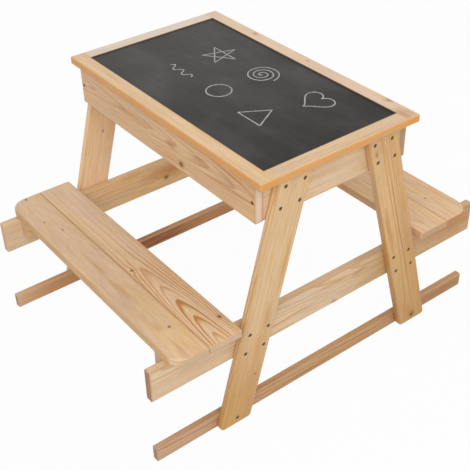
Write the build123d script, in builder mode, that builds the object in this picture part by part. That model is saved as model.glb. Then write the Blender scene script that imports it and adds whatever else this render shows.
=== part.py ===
# Children's picnic table with a lift-off chalkboard top over a shallow play box.
# +X runs along the table to its near end, +Y across it to the right-hand bench
# and +Z up. The origin is on the floor under the middle of the top. Millimetres.
from build123d import *
import os
from math import cos, radians, tan

os.makedirs("parts", exist_ok=True)

# Heights above the floor
table_height = 510.0
seat_height = 234.0

# Play box under the top
box_length = 553.0
box_width = 344.0
apron_height = 78.0
apron_thickness = 16.0
floor_thickness = 5.0
floor_play = 0.6
ledger_size = 14.0
ledger_lift = 4.0

# Framed chalkboard top
top_thickness = 14.0
top_rail_width = 31.0
top_end_overhang = 7.5
top_side_overhang = 7.0
top_corner_radius = 4.0
top_edge_radius = 3.0
chalkboard_thickness = 4.0
chalkboard_recess = 2.5
chalkboard_tongue = 7.0
chalkboard_play = 0.5
stiffener_width = 32.0
stiffener_height = 14.0
stiffener_spacing = 240.0
stiffener_play = 0.3

# Dowels across the butt joints of the top frame
dowel_radius = 3.0
dowel_length = 30.0
dowel_spacing = 10.0
dowel_edge_inset = 13.0
dowel_play = 0.15
dowel_end_play = 0.5

# Dowel pegs that locate the top on the long aprons
peg_radius = 3.0
peg_in_rail = 7.0
peg_below_rail = 9.0
peg_tip_chamfer = 0.8
peg_end_inset = 60.0
peg_glue_play = 0.15
peg_play = 0.6
peg_hole_spare = 1.0

# Splayed legs
leg_width = 68.0
leg_thickness = 16.0
leg_splay = 15.4
leg_head_inset = 39.5
leg_foot_radius = 8.0
leg_edge_radius = 4.0

# Seat beams and foot rails
beam_height = 67.5
beam_thickness = 16.0
beam_reach = 36.0
foot_rail_height = 31.0
foot_rail_thickness = 14.5

# Benches and the cleats under their ends
bench_board_width = 69.7
bench_board_thickness = 16.0
bench_board_gap = 0.6
bench_end_overhang = 9.5
bench_leg_clearance = 16.0
bench_corner_radius = 35.0
bench_inner_corner_radius = 5.0
bench_edge_radius = 2.5
bench_gap_edge_radius = 0.4
cleat_thickness = 26.0
cleat_height = 36.0
cleat_end_inset = 2.0

# Eased edges
edge_radius = 2.5
small_edge_radius = 1.2

# Wood screws, and how far each kind bites past the first board
screw_radius = 1.75
screw_head_radius = 3.75
screw_sink = 0.5
screw_play = 0.2
screw_tip = 4.0
screw_hole_spare = 1.0
recess_span = 4.4
recess_width = 1.1
recess_depth = 1.8
leg_screw_bite = 12.0
corner_screw_bite = 24.0
cleat_screw_bite = 10.0
bench_screw_bite = 9.0
ledger_screw_bite = 10.0
floor_screw_bite = 8.0

# Places of the screws on the pieces that they hold
head_screw_top_inset = 16.0
head_screw_bottom_inset = 23.0
beam_screw_top_inset = 17.0
beam_screw_bottom_inset = 12.0
leg_screw_inner_inset = 13.0
leg_screw_outer_inset = 16.5
cleat_screw_end_inset = 35.0
bench_screw_edge_inset = 17.0
ledger_screw_end_inset = 40.0
floor_screw_spacing = 260.0

# Sizes that follow from those above
top_underside = table_height - top_thickness
apron_bottom = top_underside - apron_height
apron_middle = top_underside - apron_height / 2
box_inner_length = box_length - 2 * apron_thickness
box_inner_width = box_width - 2 * apron_thickness
leg_inner_x = box_length / 2
leg_outer_x = leg_inner_x + leg_thickness
top_length = 2 * (leg_outer_x + top_end_overhang)
top_width = box_width + 2 * top_side_overhang
board_length = top_length - 2 * top_rail_width
board_width = top_width - 2 * top_rail_width
chalkboard_top = table_height - chalkboard_recess
chalkboard_underside = chalkboard_top - chalkboard_thickness
ledger_bottom = apron_bottom + ledger_lift
ledger_top = ledger_bottom + ledger_size
peg_x = box_length / 2 - peg_end_inset
peg_y = box_width / 2 - apron_thickness / 2
beam_top = seat_height - bench_board_thickness
beam_bottom = beam_top - beam_height
beam_inner_x = leg_inner_x - beam_thickness
cleat_inner_x = beam_inner_x - cleat_thickness
cleat_bottom = beam_top - cleat_height
screw_cone = screw_head_radius - screw_radius
leg_slope = tan(radians(leg_splay))
leg_level_width = leg_width / cos(radians(leg_splay))


def leg_outer_y(height):
    """Distance of a leg's outer edge from the table's middle plane at that height."""
    return box_width / 2 - leg_head_inset + (top_underside - height) * leg_slope


def leg_inner_y(height):
    return leg_outer_y(height) - leg_level_width


bench_inner_y = leg_outer_y(seat_height) + bench_leg_clearance
bench_outer_y = bench_inner_y + 2 * bench_board_width + bench_board_gap
bench_length = 2 * (leg_outer_x + bench_end_overhang)
beam_length = 2 * (bench_outer_y + beam_reach)
cleat_inner_y = bench_inner_y + cleat_end_inset
cleat_outer_y = bench_outer_y - cleat_end_inset

ends = {"near": 1, "far": -1}
sides = {"left": -1, "right": 1}


def end_plane(end, distance):
    """Upright plane across the table, facing outwards at that end."""
    return Plane(origin=(end * distance, 0, 0), x_dir=(0, end, 0), z_dir=(end, 0, 0))


def side_plane(side, distance):
    """Upright plane along the table, facing outwards at that side."""
    return Plane(origin=(0, side * distance, 0), x_dir=(-side, 0, 0), z_dir=(0, side, 0))


def underside_plane(height):
    """Level plane facing down."""
    return Plane(origin=(0, 0, height), x_dir=(1, 0, 0), z_dir=(0, 0, -1))


def mirrored(points, sign):
    return [(sign * across, up) for across, up in points]


def on(face, points):
    """Places of points given across and up a face, for holes that go into it."""
    return [face.location * Location((across, up, 0)) for across, up in points]


def keep(piece, name):
    """Names a finished piece and writes it."""
    piece.part.label = name
    export_step(piece.part, f"parts/{name}.step")


def wood_screw(length):
    """Countersunk screw along -Z with a cross recess, its head's face at the origin."""
    with BuildPart() as screw:
        with BuildSketch(Plane.XZ):
            with BuildLine():
                Polyline(
                    (0, 0),
                    (screw_head_radius, 0),
                    (screw_radius, -screw_cone),
                    (screw_radius, screw_tip - length),
                    (0, -length),
                    close=True,
                )
            make_face()
        revolve(axis=Axis.Z)
        with BuildSketch():
            Rectangle(recess_span, recess_width)
            Rectangle(recess_width, recess_span)
        extrude(amount=-recess_depth, mode=Mode.SUBTRACT)
    return screw.part


def sunk_holes(places, thickness):
    """Countersunk holes through the board that a screw's head lies in."""
    with Locations(*places):
        CounterSinkHole(
            radius=screw_radius + screw_play,
            counter_sink_radius=screw_head_radius + screw_sink + screw_play,
            depth=thickness,
            counter_sink_angle=90,
        )


def pilot_holes(places, bite):
    """Plain holes in the piece that a screw is driven into."""
    with Locations(*places):
        Hole(
            radius=screw_radius + screw_play,
            depth=bite + screw_sink + screw_hole_spare,
        )


def drive_screws(name, length, places):
    """One node with a separate screw at each place, heads just below the surface."""
    screw = wood_screw(length)
    with BuildPart() as screws:
        for place in places:
            with Locations(place * Location((0, 0, -screw_sink))):
                add(screw)
    keep(screws, name)


# Places of the screws across and up one leg, at the near right-hand corner
def leg_row(height):
    return [
        (leg_inner_y(height) + leg_screw_inner_inset, height),
        (leg_outer_y(height) - leg_screw_outer_inset, height),
    ]


head_row_heights = [
    top_underside - head_screw_top_inset,
    apron_bottom + head_screw_bottom_inset,
]
beam_row_heights = [
    beam_top - beam_screw_top_inset,
    beam_bottom + beam_screw_bottom_inset,
]
foot_row_height = foot_rail_height / 2
head_points = [point for height in head_row_heights for point in leg_row(height)]
beam_points = [point for height in beam_row_heights for point in leg_row(height)]
foot_points = [(leg_inner_y(foot_row_height) + leg_level_width / 2, foot_row_height)]

# Places of the other screws
corner_points = [
    (sign * (box_length - apron_thickness) / 2, apron_middle) for sign in (1, -1)
]
cleat_middle_x = beam_inner_x - cleat_thickness / 2
cleat_screw_height = beam_top - cleat_height / 2
cleat_points = [
    (cleat_inner_y + cleat_screw_end_inset, cleat_screw_height),
    (cleat_outer_y - cleat_screw_end_inset, cleat_screw_height),
]
bench_screw_ys = [
    bench_inner_y + bench_screw_edge_inset,
    bench_inner_y + bench_board_width - bench_screw_edge_inset,
    bench_outer_y - bench_board_width + bench_screw_edge_inset,
    bench_outer_y - bench_screw_edge_inset,
]
ledger_middle = ledger_bottom + ledger_size / 2
long_ledger_reach = box_inner_length / 2 - ledger_screw_end_inset
short_ledger_length = box_inner_width - 2 * ledger_size
short_ledger_reach = short_ledger_length / 2 - ledger_screw_end_inset
long_ledger_points = [(sign * long_ledger_reach, ledger_middle) for sign in (-1, 0, 1)]
short_ledger_points = [(sign * short_ledger_reach, ledger_middle) for sign in (-1, 1)]
long_ledger_y = box_inner_width / 2 - ledger_size
short_ledger_x = box_inner_length / 2 - ledger_size
floor_points = [
    (end * floor_screw_spacing / 2, side * (long_ledger_y + ledger_size / 2))
    for end in ends.values()
    for side in sides.values()
]
floor_points += [(end * (short_ledger_x + ledger_size / 2), 0) for end in ends.values()]


# Top frame: one rounded, grooved blank, cut into two long rails and two short ones between them
with BuildPart() as top_frame:
    with BuildSketch(Plane.XY.offset(top_underside)):
        RectangleRounded(top_length, top_width, top_corner_radius)
        Rectangle(board_length, board_width, mode=Mode.SUBTRACT)
    extrude(amount=top_thickness)
    with BuildSketch(Plane.XY.offset(chalkboard_underside)):
        Rectangle(board_length + 2 * chalkboard_tongue, board_width + 2 * chalkboard_tongue)
    extrude(amount=chalkboard_thickness, mode=Mode.SUBTRACT)
    upper_face = top_frame.faces().sort_by(Axis.Z)[-1]
    lower_face = top_frame.faces().sort_by(Axis.Z)[0]
    upper_rim = upper_face.outer_wire().edges()
    upper_lip = upper_face.inner_wires()[0].edges()
    lower_rim = lower_face.outer_wire().edges()
    fillet(upper_rim, radius=top_edge_radius)
    fillet(upper_lip + lower_rim, radius=small_edge_radius)

rail_middle_x = (top_length - top_rail_width) / 2
rail_middle_y = (top_width - top_rail_width) / 2
dowel_x = top_length / 2 - dowel_edge_inset
dowel_places = [
    (end * (dowel_x + step * dowel_spacing / 2), side * board_width / 2)
    for end in ends.values()
    for side in sides.values()
    for step in (1, -1)
]


def dowels(radius, length, mode=Mode.ADD):
    """Round bars across the butt joints, half in each rail."""
    height = top_underside + top_thickness / 2
    with Locations(*[Location((x, y, height), (90, 0, 0)) for x, y in dowel_places]):
        Cylinder(radius, length, mode=mode)


def top_rail(name, middle, length, width, peg_places):
    """One rail of the top frame, with the blind holes of its dowels and pegs."""
    with BuildPart() as rail:
        add(top_frame.part)
        with BuildSketch(Plane.XY.offset(top_underside)):
            with Locations(middle):
                Rectangle(length, width)
        extrude(amount=top_thickness, mode=Mode.INTERSECT)
        dowels(dowel_radius + dowel_play, dowel_length + 2 * dowel_end_play, Mode.SUBTRACT)
        if peg_places:
            with Locations(*on(underside_plane(top_underside), peg_places)):
                Hole(radius=peg_radius + peg_glue_play, depth=peg_in_rail)
    keep(rail, name)


for side_name, side in sides.items():
    top_rail(
        f"{side_name}_top_rail",
        (0, side * rail_middle_y),
        top_length,
        top_rail_width,
        [(peg_x, -side * peg_y), (-peg_x, -side * peg_y)],
    )

for end_name, end in ends.items():
    top_rail(f"{end_name}_top_rail", (end * rail_middle_x, 0), top_rail_width, board_width, [])

with BuildPart() as rail_dowels:
    dowels(dowel_radius, dowel_length)
keep(rail_dowels, "rail_dowels")

# Chalkboard, let into the groove all round
chalkboard_grip = chalkboard_tongue - chalkboard_play
with BuildPart() as chalkboard:
    with BuildSketch(Plane.XY.offset(chalkboard_underside)):
        Rectangle(board_length + 2 * chalkboard_grip, board_width + 2 * chalkboard_grip)
    extrude(amount=chalkboard_thickness)
keep(chalkboard, "chalkboard")

# Stiffening battens glued across the underside of the chalkboard
for end_name, end in ends.items():
    with BuildPart() as stiffener:
        with BuildSketch(Plane.XY.offset(chalkboard_underside)):
            with Locations((end * stiffener_spacing / 2, 0)):
                Rectangle(stiffener_width, board_width - 2 * stiffener_play)
        extrude(amount=-stiffener_height)
        fillet(stiffener.edges().filter_by(Axis.Y).group_by(Axis.Z)[0], radius=edge_radius)
    keep(stiffener, f"{end_name}_top_stiffener")

# Dowel pegs, glued into the long rails of the top
with BuildPart() as locating_pegs:
    with BuildSketch(Plane.XY.offset(top_underside - peg_below_rail)):
        with GridLocations(2 * peg_x, 2 * peg_y, 2, 2):
            Circle(peg_radius)
    extrude(amount=peg_below_rail + peg_in_rail)
    chamfer(
        locating_pegs.edges().filter_by(GeomType.CIRCLE).group_by(Axis.Z)[0],
        length=peg_tip_chamfer,
    )
keep(locating_pegs, "locating_pegs")

# Long aprons, which lap the ends of the end aprons
for side_name, side in sides.items():
    outer_face = side_plane(side, box_width / 2)
    inner_face = side_plane(-side, -box_inner_width / 2)
    with BuildPart() as apron:
        with BuildSketch(outer_face):
            with Locations((0, apron_middle)):
                Rectangle(box_length, apron_height)
        extrude(amount=-apron_thickness)
        fillet(apron.edges().filter_by(Axis.X).group_by(Axis.Z)[0], radius=edge_radius)
        fillet(apron.edges().filter_by(Axis.Z), radius=small_edge_radius)
        sunk_holes(on(outer_face, corner_points), apron_thickness)
        pilot_holes(on(inner_face, long_ledger_points), ledger_screw_bite)
        with Locations(*[(end * peg_x, side * peg_y, top_underside) for end in (1, -1)]):
            Hole(radius=peg_radius + peg_play, depth=peg_below_rail + peg_hole_spare)
    keep(apron, f"{side_name}_long_apron")

# End aprons between the long ones
for end_name, end in ends.items():
    outer_face = end_plane(end, box_length / 2)
    inner_face = end_plane(-end, -box_inner_length / 2)
    with BuildPart() as apron:
        with BuildSketch(outer_face):
            with Locations((0, apron_middle)):
                Rectangle(box_inner_width, apron_height)
        extrude(amount=-apron_thickness)
        fillet(apron.edges().filter_by(Axis.Y).group_by(Axis.Z)[0], radius=edge_radius)
        for sign in (1, -1):
            pilot_holes(on(outer_face, mirrored(head_points, sign)), leg_screw_bite)
            butt_face = side_plane(sign, box_inner_width / 2)
            corner_point = (-sign * end * (box_length - apron_thickness) / 2, apron_middle)
            pilot_holes(on(butt_face, [corner_point]), corner_screw_bite)
        pilot_holes(on(inner_face, short_ledger_points), ledger_screw_bite)
    keep(apron, f"{end_name}_end_apron")

# Ledger battens round the inside of the box, which carry its floor
for side_name, side in sides.items():
    inner_face = side_plane(-side, -long_ledger_y)
    with BuildPart() as ledger:
        with BuildSketch(inner_face):
            with Locations((0, ledger_middle)):
                Rectangle(box_inner_length, ledger_size)
        extrude(amount=-ledger_size)
        sunk_holes(on(inner_face, long_ledger_points), ledger_size)
        with Locations(*[(x, y, ledger_top) for x, y in floor_points if y * side > long_ledger_y]):
            Hole(radius=screw_radius + screw_play, depth=floor_screw_bite + screw_hole_spare)
    keep(ledger, f"{side_name}_floor_ledger")

for end_name, end in ends.items():
    inner_face = end_plane(-end, -short_ledger_x)
    with BuildPart() as ledger:
        with BuildSketch(inner_face):
            with Locations((0, ledger_middle)):
                Rectangle(short_ledger_length, ledger_size)
        extrude(amount=-ledger_size)
        sunk_holes(on(inner_face, short_ledger_points), ledger_size)
        with Locations(*[(x, y, ledger_top) for x, y in floor_points if x * end > short_ledger_x]):
            Hole(radius=screw_radius + screw_play, depth=floor_screw_bite + screw_hole_spare)
    keep(ledger, f"{end_name}_floor_ledger")

# Floor panel of the play box
floor_face = Plane.XY.offset(ledger_top + floor_thickness)
with BuildPart() as box_floor:
    with BuildSketch(floor_face):
        Rectangle(box_inner_length - 2 * floor_play, box_inner_width - 2 * floor_play)
    extrude(amount=-floor_thickness)
    sunk_holes(on(floor_face, floor_points), floor_thickness)
keep(box_floor, "box_floor")

# Four splayed legs, screwed to the outsides of the end aprons, beams and foot rails
for end_name, end in ends.items():
    leg_face = end_plane(end, leg_outer_x)
    for side_name, side in sides.items():
        sign = end * side
        outline = [
            (leg_inner_y(0), 0),
            (leg_outer_y(0), 0),
            (leg_outer_y(top_underside), top_underside),
            (leg_inner_y(top_underside), top_underside),
        ]
        with BuildPart() as leg:
            with BuildSketch(leg_face) as board:
                with BuildLine():
                    Polyline(*mirrored(outline, sign), close=True)
                make_face()
                fillet(board.vertices().group_by(Axis.Y)[0], radius=leg_foot_radius)
            extrude(amount=-leg_thickness)
            rims = leg.edges().filter_by(Axis.X, reverse=True)
            fillet(
                rims.filter_by(lambda rim: rim.center().Z < apron_bottom), radius=leg_edge_radius
            )
            sunk_holes(
                on(leg_face, mirrored(head_points + beam_points + foot_points, sign)),
                leg_thickness,
            )
        keep(leg, f"{end_name}_{side_name}_leg")


# Seat beams, on edge, and foot rails on the floor, all behind the legs
for end_name, end in ends.items():
    outer_face = end_plane(end, leg_inner_x)
    inner_face = end_plane(-end, -beam_inner_x)
    for rail_name, bottom, height, thickness, leg_points in (
        ("seat_beam", beam_bottom, beam_height, beam_thickness, beam_points),
        ("foot_rail", 0, foot_rail_height, foot_rail_thickness, foot_points),
    ):
        with BuildPart() as rail:
            with BuildSketch(outer_face):
                with Locations((0, bottom + height / 2)):
                    Rectangle(beam_length, height)
            extrude(amount=-thickness)
            fillet(rail.edges().filter_by(Axis.Y), radius=edge_radius)
            fillet(rail.faces().filter_by(Axis.Y).edges(), radius=small_edge_radius)
            for sign in (1, -1):
                pilot_holes(on(outer_face, mirrored(leg_points, sign)), leg_screw_bite)
                if rail_name == "seat_beam":
                    pilot_holes(on(inner_face, mirrored(cleat_points, sign)), cleat_screw_bite)
        keep(rail, f"{end_name}_{rail_name}")

# Two boards to a bench with a hairline between them, the outer one with large rounded corners
bench_underside = underside_plane(beam_top)
bench_middle_y = (bench_inner_y + bench_outer_y) / 2
board_rows = {
    "inner": (bench_inner_y, bench_inner_corner_radius),
    "outer": (bench_outer_y - bench_board_width, bench_corner_radius),
}


def beside_gap(point):
    return abs(abs(point.Y) - bench_middle_y) < bench_board_gap


for side_name, side in sides.items():
    for row_name, (row_y, corner_radius) in board_rows.items():
        with BuildPart() as bench_board:
            with BuildSketch(Plane.XY.offset(beam_top)) as plan:
                with Locations((0, side * (row_y + bench_board_width / 2))):
                    Rectangle(bench_length, bench_board_width)
                corners = plan.vertices().filter_by(beside_gap, reverse=True)
                fillet(corners, radius=corner_radius)
            extrude(amount=bench_board_thickness)
            rims = bench_board.faces().filter_by(Axis.Z).edges()
            gap_rims = rims.filter_by(lambda rim: beside_gap(rim.center()))
            fillet(rims - gap_rims, radius=bench_edge_radius)
            rims = bench_board.faces().filter_by(Axis.Z).edges()
            gap_rims = rims.filter_by(lambda rim: beside_gap(rim.center()))
            fillet(gap_rims, radius=bench_gap_edge_radius)
            points = [
                (end * cleat_middle_x, -side * y)
                for end in ends.values()
                for y in bench_screw_ys
                if row_y < y < row_y + bench_board_width
            ]
            pilot_holes(on(bench_underside, points), bench_screw_bite)
        keep(bench_board, f"{side_name}_bench_{row_name}_board")

# Cleats under the bench ends, on the inner faces of the seat beams
cleat_underside = underside_plane(cleat_bottom)
for end_name, end in ends.items():
    inner_face = end_plane(-end, -cleat_inner_x)
    for side_name, side in sides.items():
        sign = -end * side
        outline = [
            (sign * cleat_inner_y, cleat_bottom),
            (sign * cleat_outer_y, cleat_bottom),
            (sign * cleat_outer_y, beam_top),
            (sign * cleat_inner_y, beam_top),
        ]
        with BuildPart() as cleat:
            with BuildSketch(inner_face):
                with BuildLine():
                    Polyline(*outline, close=True)
                make_face()
            extrude(amount=-cleat_thickness)
            fillet(cleat.edges().filter_by(Axis.Y).group_by(Axis.Z)[0], radius=small_edge_radius)
            sunk_holes(on(inner_face, mirrored(cleat_points, sign)), cleat_thickness)
            points = [(end * cleat_middle_x, -side * y) for y in bench_screw_ys]
            sunk_holes(on(cleat_underside, points), cleat_height)
        keep(cleat, f"{end_name}_{side_name}_bench_cleat")

# Screws, one node for each joint that they hold
leg_screw_length = leg_thickness + leg_screw_bite
for name, points in (
    ("leg_head_screws", head_points),
    ("seat_beam_screws", beam_points),
    ("foot_rail_screws", foot_points),
):
    places = [
        place
        for end in ends.values()
        for sign in (1, -1)
        for place in on(end_plane(end, leg_outer_x), mirrored(points, sign))
    ]
    drive_screws(name, leg_screw_length, places)

drive_screws(
    "apron_corner_screws",
    apron_thickness + corner_screw_bite,
    [
        place
        for side in sides.values()
        for place in on(side_plane(side, box_width / 2), corner_points)
    ],
)
drive_screws(
    "bench_cleat_screws",
    cleat_thickness + cleat_screw_bite,
    [
        place
        for end in ends.values()
        for sign in (1, -1)
        for place in on(end_plane(-end, -cleat_inner_x), mirrored(cleat_points, sign))
    ],
)
drive_screws(
    "bench_board_screws",
    cleat_height + bench_screw_bite,
    on(
        cleat_underside,
        [
            (end * cleat_middle_x, side * y)
            for end in ends.values()
            for side in sides.values()
            for y in bench_screw_ys
        ],
    ),
)
ledger_places = []
for side in sides.values():
    ledger_places += on(side_plane(-side, -long_ledger_y), long_ledger_points)
for end in ends.values():
    ledger_places += on(end_plane(-end, -short_ledger_x), short_ledger_points)
drive_screws("floor_ledger_screws", ledger_size + ledger_screw_bite, ledger_places)
drive_screws("box_floor_screws", floor_thickness + floor_screw_bite, on(floor_face, floor_points))
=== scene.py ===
import random
from math import cos, pi, radians, sin

import bmesh
import bpy
from mathutils import Matrix, Quaternion, Vector


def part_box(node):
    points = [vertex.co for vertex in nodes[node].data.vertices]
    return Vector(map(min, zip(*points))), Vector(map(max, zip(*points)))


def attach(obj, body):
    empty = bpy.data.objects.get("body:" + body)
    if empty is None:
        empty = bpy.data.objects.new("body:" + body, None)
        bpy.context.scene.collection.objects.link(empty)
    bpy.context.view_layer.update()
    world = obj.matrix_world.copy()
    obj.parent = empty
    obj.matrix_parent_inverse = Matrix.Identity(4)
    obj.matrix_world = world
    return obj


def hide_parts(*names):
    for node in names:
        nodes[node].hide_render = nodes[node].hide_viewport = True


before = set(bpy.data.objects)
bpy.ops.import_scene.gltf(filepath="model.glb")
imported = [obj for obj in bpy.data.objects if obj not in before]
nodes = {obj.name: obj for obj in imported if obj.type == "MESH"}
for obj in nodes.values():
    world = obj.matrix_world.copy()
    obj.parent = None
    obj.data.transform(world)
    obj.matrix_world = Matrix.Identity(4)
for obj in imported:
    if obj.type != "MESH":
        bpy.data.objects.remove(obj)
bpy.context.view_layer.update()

scene = bpy.context.scene


# Shader and geometry trees, written as expressions

class Wire:
    """One output socket. Python's operators on it add Math nodes to its tree."""

    def __init__(self, sheet, socket):
        self.sheet = sheet
        self.socket = socket

    def math(self, operation, *values):
        return self.sheet.math(operation, self, *values)

    def __add__(self, other):
        return self.math("ADD", other)

    def __radd__(self, other):
        return self.math("ADD", other)

    def __sub__(self, other):
        return self.math("SUBTRACT", other)

    def __rsub__(self, other):
        return self.sheet.math("SUBTRACT", other, self)

    def __mul__(self, other):
        return self.math("MULTIPLY", other)

    def __rmul__(self, other):
        return self.math("MULTIPLY", other)

    def __truediv__(self, other):
        return self.math("DIVIDE", other)

    def __rtruediv__(self, other):
        return self.sheet.math("DIVIDE", other, self)

    def __pow__(self, other):
        return self.math("POWER", other)

    def __abs__(self):
        return self.math("ABSOLUTE")


class Sheet:
    """A node tree that is being written."""

    def __init__(self, tree):
        self.tree = tree

    def node(self, kind, settings=None, inputs=None, outputs=(0,)):
        """Adds a node: its settings first, then the values or wires of its sockets."""
        made = self.tree.nodes.new(kind)
        for name, value in (settings or {}).items():
            setattr(made, name, value)
        for key, value in (inputs or {}).items():
            wires = value if isinstance(value, list) else [value]
            for wire in wires:
                if isinstance(wire, Wire):
                    self.tree.links.new(wire.socket, made.inputs[key])
                else:
                    made.inputs[key].default_value = wire
        wires = [Wire(self, made.outputs[key]) for key in outputs]
        return wires[0] if len(wires) == 1 else wires

    def math(self, operation, *values):
        return self.node("ShaderNodeMath", {"operation": operation}, dict(enumerate(values)))

    def vector(self, operation, *values):
        return self.node("ShaderNodeVectorMath", {"operation": operation}, dict(enumerate(values)))

    def dot(self, first, second):
        settings = {"operation": "DOT_PRODUCT"}
        return self.node("ShaderNodeVectorMath", settings, {0: first, 1: second}, ("Value",))

    def mix(self, share, first, second, blend="MIX"):
        """Mixes two colours."""
        settings = {"data_type": "RGBA", "blend_type": blend}
        return self.node("ShaderNodeMix", settings, {0: share, 6: first, 7: second}, (2,))

    def ease(self, value, low, high):
        """Rises smoothly from 0 at low to 1 at high, or falls where low is above high."""
        if low > high:
            return 1 - self.ease(value, high, low)
        settings = {"interpolation_type": "SMOOTHSTEP"}
        return self.node("ShaderNodeMapRange", settings, {0: value, 1: low, 2: high})

    def cloud(self, place, seed, scale=1.0, detail=2.0, output="Fac"):
        """Soft noise from 0 to 1, different for every seed."""
        inputs = {"Vector": place, "W": seed, "Scale": scale, "Detail": detail}
        return self.node("ShaderNodeTexNoise", {"noise_dimensions": "4D"}, inputs, (output,))


def tone(red, green, blue):
    """A finish's colour, named as a painter's 0 to 255, as the linear light that nodes use."""
    shares = [step / 255 for step in (red, green, blue)]
    light = [s / 12.92 if s <= 0.04045 else ((s + 0.055) / 1.055) ** 2.4 for s in shares]
    return (*light, 1.0)


def new_group(name, sockets, kind_of_tree="ShaderNodeTree"):
    """A group with these inputs and outputs. Returns its sheet, and its inputs by name."""
    tree = bpy.data.node_groups.new(name, kind_of_tree)
    for label, way, kind in sockets:
        tree.interface.new_socket(label, in_out=way, socket_type=f"NodeSocket{kind}")
    sheet = Sheet(tree)
    labels = [label for label, way, kind in sockets if way == "INPUT"]
    given = sheet.node("NodeGroupInput", outputs=labels)
    return sheet, dict(zip(labels, given))


def new_finish(name):
    """A material with an empty tree."""
    material = bpy.data.materials.new(name)
    material.use_nodes = True
    material.node_tree.nodes.clear()
    return material, Sheet(material.node_tree)


def give_surface(sheet, inputs):
    """Ends a material in one Principled shader."""
    surface = sheet.node("ShaderNodeBsdfPrincipled", inputs=inputs)
    sheet.node("ShaderNodeOutputMaterial", inputs={"Surface": surface}, outputs=())


# Pine, as a log that each board is cut from

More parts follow.
